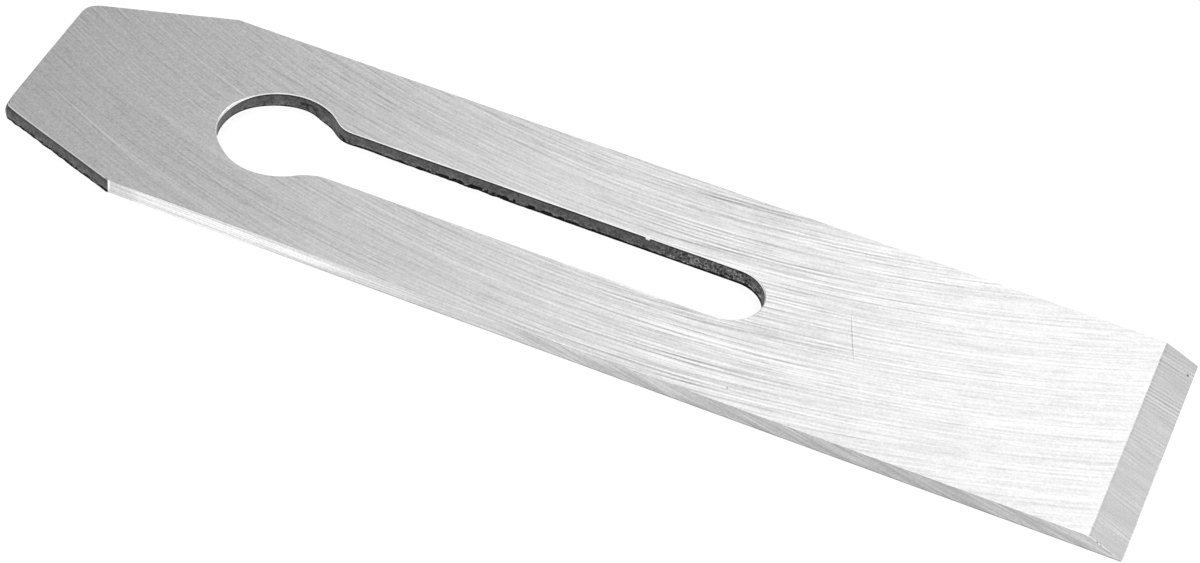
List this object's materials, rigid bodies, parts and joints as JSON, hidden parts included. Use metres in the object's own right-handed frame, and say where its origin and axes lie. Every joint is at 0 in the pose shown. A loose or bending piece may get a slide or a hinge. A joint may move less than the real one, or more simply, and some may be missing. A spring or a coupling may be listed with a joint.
{
  "type": "plane iron",
  "caption": "Flat steel bench-plane blade with a clipped head, a keyhole slot for the cap-iron screw and a single ground bevel.",
  "frame": {"origin": "middle of the blade's length and width, on its flat back, the unbevelled face", "axes": "+X along the blade from the clipped head to the cutting edge, +Y across it, +Z from the flat back to the bevel-side face"},
  "size_m": [0.1833, 0.044, 0.0026],
  "materials": {
    "ground_steel": "surface-ground bare tool steel with fine curved grinding lines; sheared, darker walls in the keyhole and on the clipped corners"
  },
  "bodies": {
    "root": {"blade": "ground_steel"}
  },
  "joints": []
}
